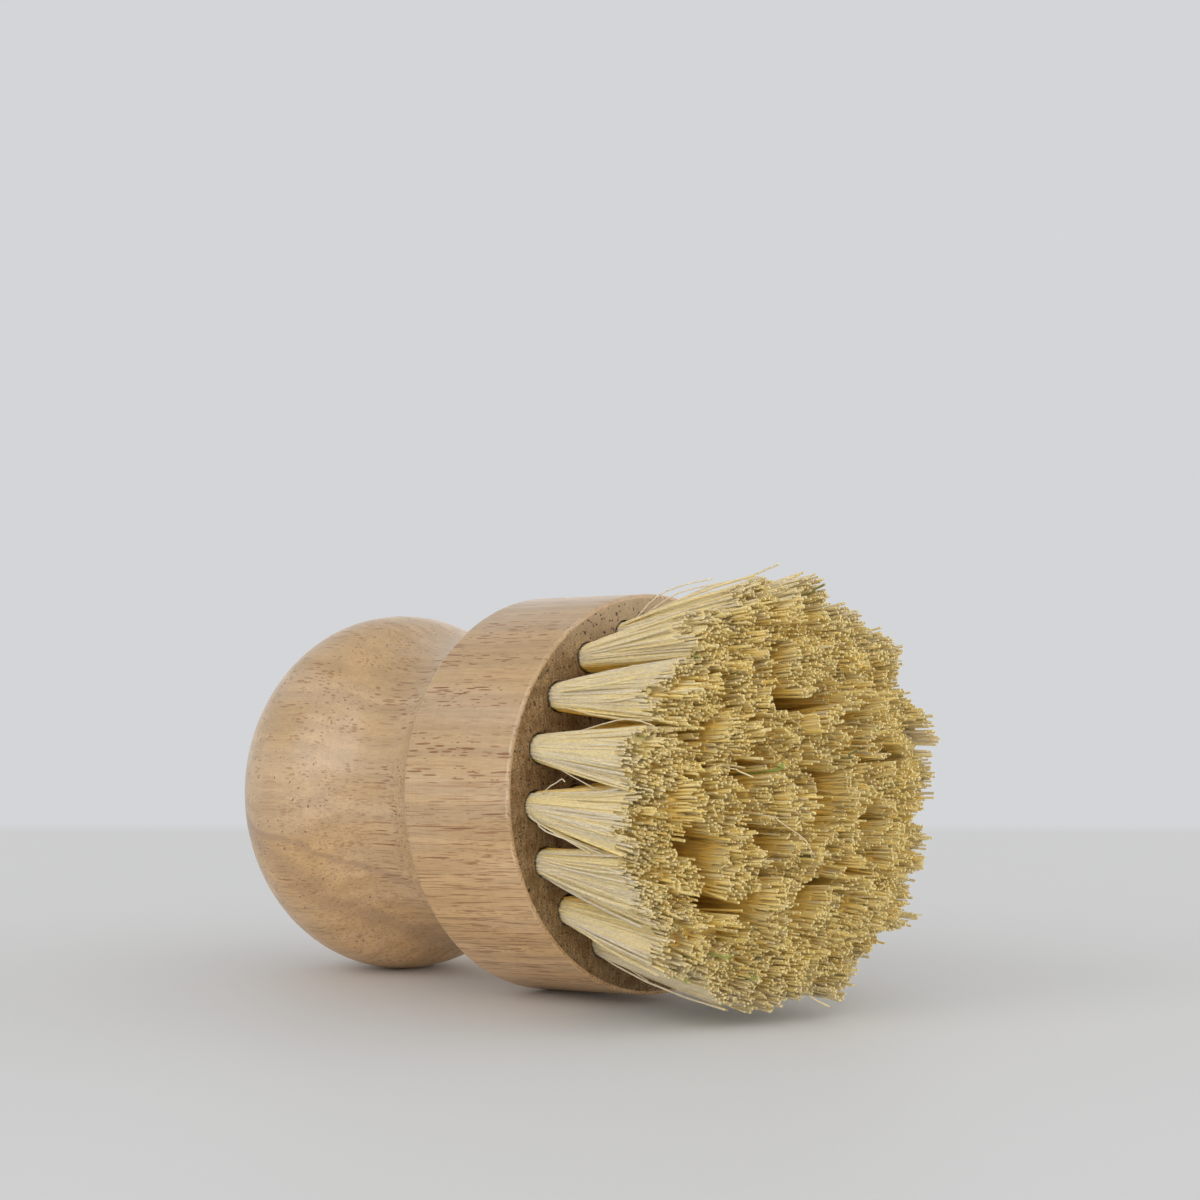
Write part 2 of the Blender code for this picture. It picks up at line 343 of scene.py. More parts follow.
def finish_material(tree, sockets):
    shader = node(tree, "ShaderNodeBsdfPrincipled", sockets)
    node(tree, "ShaderNodeOutputMaterial", {"Surface": shader.outputs[0]})
    return shader


def millimetres(tree):
    place = node(tree, "ShaderNodeTexCoord").outputs["Object"]
    return vector(tree, "MULTIPLY", place, (1 / MM, 1 / MM, 1 / MM))


# Nearly all values of a noise lie between these
NOISE_SPAN = (0.3, 0.7)

# Cut vessels fade at their edge, and from those that don't show to those that do
VESSEL_EDGE_SHARE = 0.75
VESSEL_FADE = 0.25


def bent(tree, place, across, along, reach):
    """The place moved by a slow noise, as grain wanders."""
    sockets = {"Vector": stretched(tree, place, across, along), "Scale": 1.0, "Detail": 1.0}
    push = node(tree, "ShaderNodeTexNoise", sockets).outputs[1]
    push = vector(tree, "SUBTRACT", push, (0.5, 0.5, 0.5))
    push = vector(tree, "MULTIPLY", push, (reach, reach, reach))
    return vector(tree, "ADD", place, push)


def vessels(tree, place, across, along, width, fewest):
    """Cut vessels of the wood, dashes along the grain and dots across it, some stronger than others."""
    cells = node(
        tree,
        "ShaderNodeTexVoronoi",
        {"Vector": stretched(tree, place, across, along), "Scale": 1.0},
        voronoi_dimensions="3D",
        feature="F1",
    )
    inside = ramp(tree, cells.outputs["Distance"], width, width * VESSEL_EDGE_SHARE)
    chance = node(tree, "ShaderNodeSeparateColor", {0: cells.outputs["Color"]}).outputs[0]
    return product(tree, inside, ramp(tree, chance, fewest, fewest + VESSEL_FADE))


# The turned wood. Its places are in millimetres: x points down as the brush lies, y away from the
# camera's side, and z from the knob to the face.
WOOD_PALE = colour(0.492, 0.338, 0.194)
WOOD_WARM = colour(0.462, 0.300, 0.143)
# Painted bounce light: how much lighter the wood is made towards the underside
WOOD_UNDERSIDE_PAINTED_LIGHT = colour(1.34, 1.24, 1.05)
WOOD_LINE = colour(0.31, 0.148, 0.048)
WOOD_HEART = colour(0.27, 0.16, 0.095)
WOOD_VESSEL = colour(0.23, 0.082, 0.014)
WOOD_PIT = colour(0.20, 0.09, 0.03)
WOOD_PIT_RIM_PAINTED_HIGHLIGHT = colour(0.68, 0.52, 0.35)
# Worn edge and painted highlight along the face's rim
WOOD_WORN_EDGE_AND_HIGHLIGHT = colour(0.66, 0.52, 0.36)

# Darker layers that cross the knob's near side: the way out of each, how far out it lies, its width
# and how strong it is. They wander, and fade towards the far side and the head.
HEART_STREAKS = (
    ((0.950, 0.0, -0.312), 20.4, 0.9, 0.42),
    ((0.793, 0.0, -0.609), 37.8, 3.2, 0.36),
)
HEART_WANDER = 1.6
HEART_NEAR_SIDE = (-3.0, -10.0)
HEART_ON_KNOB = (-29.0, -34.0)

# Layers of vessels: their spacing across and along the grain, how wide and how rare they are, and how
# strong above and below
VESSEL_LAYERS = (
    (0.48, 6.5, 0.31, 0.28, 1.0, 0.40),
    (0.40, 3.6, 0.33, 0.34, 1.0, 0.40),
    (0.30, 1.4, 0.30, 0.62, 0.9, 0.5),
    (0.46, 22.0, 0.25, 0.30, 0.25, 1.0),
)
PIT_SIZES = (0.85, 1.0, 0.22, 0.40)
# Rims beside the pits, shifted to one side, whose lighter colour is a painted highlight
PIT_RING_SIZES = (0.85, 1.0, 0.32, 0.40)
PIT_RING_SHIFT = (0.07, 0.0, 0.03)


def wood_tones(tree, grain, down):
    """Broad patches and finer layers, and painted bounce light that makes the underside lighter."""
    patches = noise(tree, stretched(tree, grain, 7.0, 40.0), 2.0)
    base = mixed(tree, ramp(tree, patches, 0.36, 0.62), WOOD_PALE, WOOD_WARM)
    # Painted bounce light, lightening the underside
    base = mixed(tree, ramp(tree, down, -6.0, 22.0), base, WOOD_UNDERSIDE_PAINTED_LIGHT, "MULTIPLY")
    layers = noise(tree, stretched(tree, grain, 1.6, 80.0), 2.0)
    return shaded(tree, base, layers, 0.36, 0.66, 0.90, 1.07)


def grain_lines(tree, grain, down, height):
    """Dark lines of growth, strongest below and on the head."""
    lines = noise(tree, stretched(tree, grain, 0.24, 26.0), 2.0, 0.6)
    lines = product(tree, ramp(tree, lines, 0.55, 0.63), ramp(tree, down, -8.0, 4.0, 0.2, 0.95))
    return product(tree, lines, ramp(tree, height, -40.0, -26.0, 0.5, 1.0))


def heart_streak(tree, place, way, reach, width):
    wander = noise(tree, stretched(tree, place, 6.0, 14.0), 2.0)
    wander = ramp(tree, wander, 0.0, 1.0, -HEART_WANDER, HEART_WANDER)
    away = calculate(tree, "SUBTRACT", along_way(tree, place, way), reach)
    away = calculate(tree, "ADD", away, wander)
    band = ramp(tree, calculate(tree, "ABSOLUTE", away), width, 0.1 * width)
    parts = node(tree, "ShaderNodeSeparateXYZ", {0: place})
    band = product(tree, band, ramp(tree, parts.outputs[1], *HEART_NEAR_SIDE))
    return product(tree, band, ramp(tree, parts.outputs[2], *HEART_ON_KNOB))


def open_vessels(tree, grain, down, height):
    """The vessels of all layers, gathered in rows along the grain and weaker on the knob."""
    rows = ramp(tree, noise(tree, stretched(tree, grain, 2.6, 60.0), 2.0), 0.42, 0.58, 0.12, 1.0)
    dashes = 0.0
    for across, along, width, fewest, above, below in VESSEL_LAYERS:
        layer = product(tree, vessels(tree, grain, across, along, width, fewest), rows)
        layer = product(tree, layer, ramp(tree, down, -7.0, 3.0, above, below))
        dashes = calculate(tree, "MAXIMUM", dashes, layer)
    return product(tree, dashes, ramp(tree, height, -36.0, -30.0, 0.62, 1.0))


def knob_pits(tree, place, height):
    """Pits where vessels end in the knob's bulge, here and there, and raised rims beside them, lightened to
    one side as a painted highlight.
    """
    bulge = product(tree, ramp(tree, height, -35.0, -40.0), ramp(tree, height, -60.0, -55.0))
    patches = noise(tree, stretched(tree, place, 7.0, 9.0), 1.0)
    bulge = product(tree, bulge, ramp(tree, patches, 0.40, 0.52))
    uneven = bent(tree, place, 0.35, 0.35, 0.6)
    beside = vector(tree, "ADD", uneven, PIT_RING_SHIFT)
    pits = product(tree, vessels(tree, uneven, *PIT_SIZES), bulge)
    rings = product(tree, vessels(tree, beside, *PIT_RING_SIZES), bulge)
    return pits, rings


def worn_and_highlit_rim(tree, place, height):
    """A thin light edge around the face, partly a worn, crushed edge and partly a painted highlight on its
    rounding, broken here and there.
    """
    nicks = noise(tree, stretched(tree, place, 0.9, 0.9), 2.0)
    height = calculate(tree, "ADD", height, ramp(tree, nicks, *NOISE_SPAN, -0.12, 0.12))
    edge = product(tree, ramp(tree, height, -0.46, -0.34), ramp(tree, height, -0.12, -0.22))
    breaks = noise(tree, stretched(tree, place, 2.6, 2.6), 2.0)
    return product(tree, edge, ramp(tree, breaks, 0.42, 0.62, 0.0, 0.42))


def turned_wood():
    made, tree = new_material("turned_wood")
    place = millimetres(tree)
    parts = node(tree, "ShaderNodeSeparateXYZ", {0: place})
    down, height = parts.outputs[0], parts.outputs[2]
    grain = bent(tree, place, 18.0, 45.0, 3.0)
    strands = noise(tree, stretched(tree, grain, 0.10, 2.4), 2.0)
    turning = noise(tree, stretched(tree, place, 60.0, 0.33), 1.0)
    lines = grain_lines(tree, grain, down, height)
    dashes = open_vessels(tree, grain, down, height)
    pits, rings = knob_pits(tree, place, height)
    base = mixed(tree, lines, wood_tones(tree, grain, down), WOOD_LINE)
    base = shaded(tree, base, strands, *NOISE_SPAN, 0.90, 1.07)
    base = shaded(tree, base, turning, *NOISE_SPAN, 0.975, 1.02)
    for way, reach, width, strength in HEART_STREAKS:
        streak = heart_streak(tree, place, way, reach, width)
        base = mixed(tree, product(tree, streak, strength), base, WOOD_HEART)
    base = mixed(tree, dashes, base, WOOD_VESSEL)
    # Painted highlight on the pits' rims
    base = mixed(tree, product(tree, rings, 0.35), base, WOOD_PIT_RIM_PAINTED_HIGHLIGHT)
    base = mixed(tree, product(tree, pits, 0.9), base, WOOD_PIT)
    # The rim's light edge: worn wood and a painted highlight
    base = mixed(tree, worn_and_highlit_rim(tree, place, height), base, WOOD_WORN_EDGE_AND_HIGHLIGHT)
    relief = calculate(tree, "MULTIPLY_ADD", dashes, -1.0, product(tree, lines, -0.25))
    relief = calculate(tree, "MULTIPLY_ADD", pits, -1.6, relief)
    relief = calculate(tree, "MULTIPLY_ADD", rings, 0.6, relief)
    relief = calculate(tree, "MULTIPLY_ADD", strands, 0.10, relief)
    normal = bump(tree, relief, 0.6, 0.06 * MM)
    finish_material(
        tree,
        {
            "Base Color": base,
            "Roughness": ramp(tree, strands, *NOISE_SPAN, 0.46, 0.58),
            "Normal": normal,
            "Coat Normal": normal,
            "Coat Weight": 0.7,
            "Coat Roughness": 0.24,
        },
    )
    return made


# The face and its holes. Their tones are darker and warmer than the turned wood, partly as unfinished end
# grain and partly as painted shade from the tufts, and the top colour is painted light on the face's upper
# part
FACE_LIGHT = colour(0.30, 0.19, 0.085)
FACE_DARK = colour(0.205, 0.115, 0.042)
FACE_TOP_PAINTED_LIGHT = colour(0.52, 0.395, 0.25)
FACE_PORE = colour(0.06, 0.03, 0.012)


def end_grain():
    """The face and its holes, sawn and drilled across the grain and left without a finish, and lightened
    towards the top as painted light.
    """
    made, tree = new_material("end_grain")
    place = millimetres(tree)
    patches = noise(tree, stretched(tree, place, 2.2, 6.0), 3.0, 0.6)
    base = mixed(tree, ramp(tree, patches, 0.35, 0.65), FACE_LIGHT, FACE_DARK)
    scrapes = noise(tree, vector(tree, "MULTIPLY", place, (0.45, 2.2, 1.0)), 3.0, 0.65)
    base = shaded(tree, base, scrapes, 0.36, 0.64, 0.80, 1.22)
    specks = noise(tree, stretched(tree, place, 0.26, 1.0), 3.0, 0.7)
    base = shaded(tree, base, specks, 0.34, 0.66, 0.56, 1.42)
    # Painted light: the face grows lighter towards its top
    top = ramp(tree, node(tree, "ShaderNodeSeparateXYZ", {0: place}).outputs[0], -17.0, -26.0)
    base = mixed(tree, product(tree, top, 0.6), base, FACE_TOP_PAINTED_LIGHT)
    small_pores = vessels(tree, place, 0.62, 6.5, 0.26, 0.25)
    large_pores = vessels(tree, bent(tree, place, 0.5, 0.5, 0.5), 1.15, 8.0, 0.22, 0.40)
    pores = calculate(tree, "MAXIMUM", small_pores, large_pores)
    base = mixed(tree, product(tree, pores, 0.9), base, FACE_PORE)
    relief = calculate(tree, "MULTIPLY_ADD", pores, -1.0, product(tree, specks, 0.6))
    finish_material(
        tree,
        {
            "Base Color": base,
            "Roughness": ramp(tree, specks, *NOISE_SPAN, 0.66, 0.84),
            "Normal": bump(tree, relief, 0.8, 0.08 * MM),
        },
    )
    return made


# The fibres. `along` runs from 0 at a fibre's root to 1 at its tip: painted golden shade starts under the
# cut end and grows deeper towards the root, and what is in the hole lies in painted shade.
FIBRE_PAINTED_GOLD_SHADE = colour(0.815, 0.565, 0.13)
FIBRE_PAINTED_DEEP_SHADE = colour(0.73, 0.43, 0.06)
FIBRE_CUT = colour(0.56, 0.46, 0.215)
CUT_ALONG = 0.985
GOLD_ALONG = 0.88
DEEP_ALONG = (0.92, 0.72)
DEEP_SHARE = 0.7
CUT_SHARE = 0.6
MOUTH_ALONG = (0.165, 0.205)
HOLE_SHADE = 0.22


def plant_fibre():
    """Dry fibre that lets a little light through."""
    made, tree = new_material("plant_fibre")
    tone = node(tree, "ShaderNodeAttribute", attribute_name="tone").outputs["Fac"]
    along = node(tree, "ShaderNodeAttribute", attribute_name="along").outputs["Fac"]
    painted_depth_shade = node(tree, "ShaderNodeAttribute", attribute_name="painted_depth_shade").outputs["Fac"]
    shades = node(tree, "ShaderNodeValToRGB", {"Fac": tone})
    stops = shades.color_ramp.elements
    stops.remove(stops[1])
    stops[0].color = colour(*FIBRE_SHADES[0][1])
    for position, shade in FIBRE_SHADES[1:]:
        stops.new(position).color = colour(*shade)
    # Painted shade: gold under the cut ends, deeper towards the roots, where fibres hide each other
    inside = product(tree, ramp(tree, along, CUT_ALONG, GOLD_ALONG), painted_depth_shade)
    base = mixed(tree, inside, shades.outputs[0], FIBRE_PAINTED_GOLD_SHADE)
    deep_painted_shade = product(tree, ramp(tree, along, *DEEP_ALONG, 0.0, DEEP_SHARE), painted_depth_shade)
    base = mixed(tree, deep_painted_shade, base, FIBRE_PAINTED_DEEP_SHADE)
    streaks = noise(tree, stretched(tree, millimetres(tree), 0.18, 5.0), 2.0)
    base = shaded(tree, base, streaks, *NOISE_SPAN, 0.86, 1.08)
    base = mixed(tree, ramp(tree, along, CUT_ALONG, 1.0, 0.0, CUT_SHARE), base, FIBRE_CUT)
    base = shaded(tree, base, along, *MOUTH_ALONG, HOLE_SHADE, 1.0)
    shader = finish_material(
        tree,
        {
            "Base Color": base,
            "Roughness": ramp(tree, streaks, *NOISE_SPAN, 0.50, 0.64),
            "Normal": bump(tree, streaks, 0.3, 0.02 * MM),
            "Specular IOR Level": 0.22,
            "Subsurface Weight": 0.6,
            "Subsurface Radius": (1.0, 0.85, 0.6),
            "Subsurface Scale": 0.3 * MM,
        },
    )
    shader.subsurface_method = "BURLEY"
    return made


def new_object(name, mesh, place=None):
    obj = bpy.data.objects.new(name, mesh)
    bpy.context.scene.collection.objects.link(obj)
    if place is not None:
        obj.matrix_world = place
    return obj


def add_piece(obj, node_name):
    if node_name:
        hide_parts(node_name)
    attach(obj, "root")


def rounded_corner(before, corner, after, radius):
    before, corner, after = Vector(before), Vector(corner), Vector(after)
    back = (before - corner).normalized()
    ahead = (after - corner).normalized()
    shorter = min((before - corner).length, (after - corner).length)
    reach = min(radius / math.tan(back.angle(ahead) / 2), shorter / 2)
    start = corner + back * reach
    end = corner + ahead * reach
    points = []
    for step in range(ROUND_STEPS + 1):
        share = step / ROUND_STEPS
        points.append(start.lerp(corner, share).lerp(corner.lerp(end, share), share))
    return points


def flare_points():
    points = []
    for step in range(1, CURVE_STEPS):
        share = 1 - step / CURVE_STEPS
        rise = (HEAD_RADIUS - NECK_RADIUS) * share**FLARE_POWER
        points.append((NECK_RADIUS + rise, share * NECK_FROM_SHOULDER - NECK_AT))
    return points


def waist_points():
    steps = 2 * CURVE_STEPS
    points = []
    for step in range(steps):
        share = step / steps
        if share < WAIST_TURN_SHARE:
            lift = share**2 / WAIST_TURN_SHARE
        else:
            lift = 1 - (1 - share) ** 2 / (1 - WAIST_TURN_SHARE)
        rise = (KNOB_RADIUS - NECK_RADIUS) * lift
        points.append((NECK_RADIUS + rise, -NECK_AT - share * KNOB_FROM_NECK))
    return points


def dome_points():
    points = []
    for step in range(CURVE_STEPS + 1):
        share = step / CURVE_STEPS
        drop = KNOB_END_DROP * share**DOME_POWER
        points.append((KNOB_RADIUS - drop, -KNOB_AT - share * KNOB_END_LENGTH))
    return points


def handle_profile():
    """Radius and height from the face's rim to the edge of the knob's flat end."""
    face_middle = (0.0, 0.0)
    rim = (HEAD_RADIUS, 0.0)
    shoulder = (HEAD_RADIUS, -HEAD_LENGTH)
    flare = flare_points()
    dome = dome_points()
    points = rounded_corner(face_middle, rim, shoulder, RIM_ROUND)
    points += rounded_corner(rim, shoulder, flare[0], SHOULDER_ROUND * 2)
    points += flare + waist_points() + dome[:-1]
    points += rounded_corner(dome[-2], dome[-1], (0.0, -HANDLE_LENGTH), END_ROUND)
    return [(point[0], point[1]) for point in points]


def turned_mesh(profile):
    rings = len(profile)
    corners = []
    for radius, height in profile:
        for step in range(TURNING_STEPS):
            turn = step * math.tau / TURNING_STEPS
            corners.append((radius * math.cos(turn), radius * math.sin(turn), height))
    faces = []
    for ring in range(rings - 1):
        for step in range(TURNING_STEPS):
            here = ring * TURNING_STEPS + step
            after = ring * TURNING_STEPS + (step + 1) % TURNING_STEPS
            faces.append((here, here + TURNING_STEPS, after + TURNING_STEPS, after))
    last = (rings - 1) * TURNING_STEPS
    faces.append(tuple(range(TURNING_STEPS)))
    faces.append(tuple(reversed(range(last, last + TURNING_STEPS))))
    mesh = bpy.data.meshes.new("handle_turning")
    mesh.from_pydata(corners, [], faces)
    return mesh


def drills_mesh(places):
    bm = bmesh.new()
    for _, _, place in places:
        bmesh.ops.create_cone(
            bm,
            cap_ends=True,
            segments=HOLE_SIDES,
            radius1=HOLE_RADIUS,
            radius2=HOLE_RADIUS,
            depth=2 * HOLE_DEPTH,
            matrix=place,
        )
    mesh = bpy.data.meshes.new("drills")
    bm.to_mesh(mesh)
    bm.free()
    return mesh


def hole_places():
    places = []
    for ring, count in enumerate(RING_COUNTS):
        for step in range(count):
            name = f"{RING_NAMES[ring]}_{step + 1:02d}" if count > 1 else RING_NAMES[ring]
            turn = Matrix.Rotation(RING_TURNS[ring] + step * math.tau / count, 4, "Z")
            places.append((name, ring, turn @ Matrix.Translation((ring * RING_PITCH, 0.0, 0.0))))
    return places


def make_handle(places):
    blank = new_object("handle_turning", turned_mesh(handle_profile()))
    drills = new_object("drills", drills_mesh(places))
    cut = blank.modifiers.new("holes", "BOOLEAN")
    cut.operation = "DIFFERENCE"
    cut.solver = "EXACT"
    cut.object = drills
    mesh = bpy.data.meshes.new_from_object(blank.evaluated_get(bpy.context.evaluated_depsgraph_get()))
    bpy.data.objects.remove(blank)
    bpy.data.objects.remove(drills)
    mesh.materials.clear()
    mesh.materials.append(turned_wood())
    mesh.materials.append(end_grain())
    for face in mesh.polygons:
        inside = face.center.xy.length < HEAD_RADIUS - RIM_ROUND
        face.material_index = int(inside and face.center.z > -SAWN_DEPTH)
        face.use_smooth = abs(face.normal.z) < FLAT_NORMAL
    mesh.set_sharp_from_angle(angle=SHARP_ANGLE)
    add_piece(new_object("turned_handle", mesh, BRUSH), "handle")


def unit(vectors):
    return vectors / np.linalg.norm(vectors, axis=-1, keepdims=True)


def above_table(points):
    """Points that would pass through the table bend to lie along it."""
    turn = np.array(BRUSH.to_3x3())
    world = points @ turn.T + np.array(BRUSH.translation)
    over = (world[..., 2] - TABLE_GAP) / TABLE_SOFTNESS
    world[..., 2] = TABLE_GAP + TABLE_SOFTNESS * np.logaddexp(0.0, over)
    return (world - np.array(BRUSH.translation)) @ turn


def pack_parts(paths):
    """Corners and faces of the pack: its outside along the first ring's paths, and its domed top."""
    paths = above_table(paths)
    stations = paths.shape[1]
    sides = np.arange(PACK_SIDES)
    after = (sides + 1) % PACK_SIDES
    rings = [paths[:PACK_SIDES, station] for station in range(stations)]
    rings += [paths[PACK_SIDES * ring : PACK_SIDES * (ring + 1), -1] for ring in range(1, len(PACK_RINGS))]
    faces = [tuple(sides[::-1].tolist())]
    for ring in range(len(rings) - 1):
        here, above = ring * PACK_SIDES, (ring + 1) * PACK_SIDES
        faces += np.stack([here + sides, here + after, above + after, above + sides], axis=-1).tolist()
    middle = len(rings) * PACK_SIDES
    last = middle - PACK_SIDES
    faces += [(int(last + side), int(last + next_side), middle) for side, next_side in zip(sides, after)]
    along_sides = np.repeat(np.linspace(0.0, 1.0 - PACK_DROP / FIBRE_LENGTH, stations), PACK_SIDES)
    along_top = np.full(PACK_SIDES * (len(PACK_RINGS) - 1) + 1, PACK_TOP_ALONG)
    return np.concatenate(rings + [paths[-1:, -1]]), faces, np.concatenate([along_sides, along_top])


def tube_points(paths, radii, chance):
    """The corners of a tube along each path: rings that swell and shrink as fibre does, cut at a slant."""
    count, stations, _ = paths.shape
    tangent = unit(np.gradient(paths, axis=1))
    side = unit(np.cross(tangent, np.array([1.0, 0.17, 0.0])))
    other = np.cross(tangent, side)
    angles = chance.random((count, 1)) * math.tau + np.arange(FIBRE_SIDES) * math.tau / FIBRE_SIDES
    cosines, sines = np.cos(angles)[:, None, :, None], np.sin(angles)[:, None, :, None]
    rings = side[:, :, None] * cosines + other[:, :, None] * sines
    swelling_at = np.linspace(0, 1, len(FIBRE_SWELLING))
    swelling = np.interp(np.linspace(0, 1, stations), swelling_at, FIBRE_SWELLING)
    points = paths[:, :, None] + rings * radii[:, None, None, None] * swelling[None, :, None, None]
    slant = (chance.random((count, 1)) - 0.5) * CUT_SLANT_SHARE * radii[:, None]
    points[:, -1] += tangent[:, -1, None] * (np.cos(angles) * slant)[:, :, None]
    return points.reshape(-1, 3)


def tube_faces(count, stations):
    """Walls, roots and tips of tubes whose corners follow each other ring by ring and tube by tube."""
    sides = np.arange(FIBRE_SIDES)
    first = np.arange(count)[:, None, None] * stations * FIBRE_SIDES
    here = first + np.arange(stations - 1)[None, :, None] * FIBRE_SIDES + sides
    after = here - sides + (sides + 1) % FIBRE_SIDES
    walls = np.stack([here, after, after + FIBRE_SIDES, here + FIBRE_SIDES], axis=-1).reshape(-1, 4)
    roots = first[:, 0] + sides[::-1]
    tips = first[:, 0] + (stations - 1) * FIBRE_SIDES + sides
    return walls.tolist() + roots.tolist() + tips.tolist()


def fibre_mesh(name, paths, radii, looks, chance, material, pack=None):
    """Closed tubes along paths of equal point counts, and the pack behind them where there is one.

    Each look has a value for each path, and after them one for each spot of the pack.
    """
    count, stations, _ = paths.shape
    points = tube_points(above_table(paths), radii, chance)
    faces = tube_faces(count, stations)
    along = np.tile(np.repeat(np.linspace(0, 1, stations), FIBRE_SIDES), count)
    shown = {look: np.repeat(values[:count], stations * FIBRE_SIDES) for look, values in looks.items()}
    if pack is not None:
        corners, pack_faces, pack_along = pack_parts(pack)
        faces += [tuple(int(corner) + len(points) for corner in face) for face in pack_faces]
        points = np.concatenate([points, corners])
        along = np.concatenate([along, pack_along])
        for look, values in looks.items():
            side, top = values[count : count + PACK_SIDES], values[count + PACK_SIDES :]
            shown[look] = np.concatenate([shown[look]] + [side] * stations + [top])
    mesh = bpy.data.meshes.new(name)
    mesh.from_pydata(points.tolist(), [], faces)
    for attribute, values in (("along", along), *shown.items()):
        mesh.attributes.new(attribute, "FLOAT", "POINT").data.foreach_set("value", values)
    mesh.shade_smooth()
    mesh.set_sharp_from_angle(angle=CUT_ANGLE)
    mesh.materials.append(material)
    return mesh


def disc_spots(count, chance):
    """Spots of a disc of radius one, on a spiral and a little out of it."""
    step = np.arange(count) + 0.5
    out = np.sqrt(step / count)
    spots = np.stack([out * np.cos(step * GOLDEN_ANGLE), out * np.sin(step * GOLDEN_ANGLE)], axis=-1)
    return spots + chance.normal(0.0, SPOT_SCATTER / math.sqrt(count), (count, 2))


def pack_spots():
    """Spots of the pack's outside and of the rings in its top, the middle last."""
    turns = np.arange(PACK_SIDES) * math.tau / PACK_SIDES
    circle = np.stack([np.cos(turns), np.sin(turns)], axis=-1)
    return np.concatenate([circle * ring for ring in PACK_RINGS] + [np.zeros((1, 2))])


def gathered(spots, chance):
    """Spots drawn together into loose clumps, as cut fibres stand, and how far each clump rises."""
    centres = chance.uniform(-1.0, 1.0, (CLUMPS, 2))
    offset = centres[None] - spots[:, None]
    distance = np.linalg.norm(offset, axis=-1)
    pull = CLUMP_PULL * np.exp(-((distance / CLUMP_REACH) ** 2))
    rises = chance.normal(0.0, CLUMP_RISE, CLUMPS)[distance.argmin(axis=1)]
    return spots + (offset * pull[:, :, None]).sum(axis=1), rises


def lobed(spots, chance):
    """Spots of a disc pushed out and in, so that the tuft's outline isn't round."""
    turn = np.arctan2(spots[:, 1], spots[:, 0])
    start = chance.random(2) * math.tau
    lobes = np.cos(2 * turn + start[0]) + THIRD_LOBE_SHARE * np.cos(3 * turn + start[1])
    return spots * (1 + LOBE_SHARE * lobes)[:, None]


def tuft_lean(name, chance):
    """How far a tuft's tips are out of the dome, and how far they lean along +y and +x."""
    loose = [chance.normal(mean, variation) for mean, variation in LOOSE_LEANS]
    return [value * MM for value in TUFT_LEANS.get(name, loose)]


def cut_trim(level, rises, spots, count, chance):
    """How much longer than its plain length each path is cut, the fibres' first and the pack's after."""
    trim = level + rises + spots @ chance.normal(0.0, SLOPE_VARIATION, 2)
    trim[count:] -= PACK_LEVELLING * rises[count:]
    trim[:count] += chance.normal(0.0, LENGTH_VARIATION, count)
    long = chance.random(count) < LONG_SHARE
    trim[:count] += np.where(long, chance.uniform(*LONG_BY, count), 0.0)
    short = chance.random(count) < SHORT_SHARE
    trim[:count] -= np.where(short, SHORT_LEAST + SHORT_RANGE * chance.random(count), 0.0)
    return trim


def turned_out(spots, hole):
    """How far each spot of an outer tuft is turned out from the brush's middle, at most 1."""
    out = np.linalg.norm(spots, axis=1)
    away = spots @ (hole / np.linalg.norm(hole))
    return np.clip(OUTWARD_GAIN * out * (OUTWARD_ALL_ROUND * out + away), OUTWARD_LEAST, 1.0)


def tuft_paths(name, ring, hole, chance):
    """Paths of the fibres and of the pack, and how far each is turned out from the brush's middle."""
    outer = ring == len(RING_COUNTS) - 1
    count = OUTER_FIBRES if outer else INSIDE_FIBRES
    rise, across, down = tuft_lean(name, chance)
    spots = np.concatenate([disc_spots(count, chance), pack_spots()])
    roots = hole + spots * ROOT_SPREAD
    width = np.array(OUTER_SPREAD if outer else INSIDE_SPREAD) * WIDTH_SHARES.get(name, (1.0, 1.0))
    ends, rises = gathered(spots, chance)
    tips = hole * (1 + SPLAY) + np.array([down, across]) + lobed(ends, chance) * width
    wild = chance.random((count, 1)) < WILD_SHARE
    tips[:count] += chance.normal(0.0, WILD_SCATTER, (count, 2)) * wild
    tips[:count] += chance.normal(0.0, TIP_SCATTER, (count, 2))
    dome = DOME_RISE - DOME_DROP * (np.linalg.norm(tips, axis=1) / DOME_REACH) ** 2
    trim = cut_trim(rise + dome, rises, spots, count, chance)
    bow = chance.normal(0.0, FIBRE_BOW, (count, 2)) * (1 + WILD_BOW * wild)
    reach = np.where(np.arange(len(spots)) < count, 1.0, 1.0 - PACK_DROP / FIBRE_LENGTH)[:, None]
    heights = np.array(FIBRE_STATIONS)
    share = np.clip(heights / FIBRE_LENGTH, 0.0, 1.0) * reach
    fan = share ** (OUTER_FAN_POWER if outer else INSIDE_FAN_POWER)
    lateral = roots[:, None] + (tips - roots)[:, None] * fan[:, :, None]
    lateral[:count] += bow[:, None] * np.sin(math.pi * share[:count])[:, :, None]
    lift = heights * reach + trim[:, None] * share
    paths = np.concatenate([lateral, lift[:, :, None]], axis=-1)
    outward = turned_out(spots, hole) if outer else np.zeros(len(spots))
    return paths[:count], paths[count:], outward


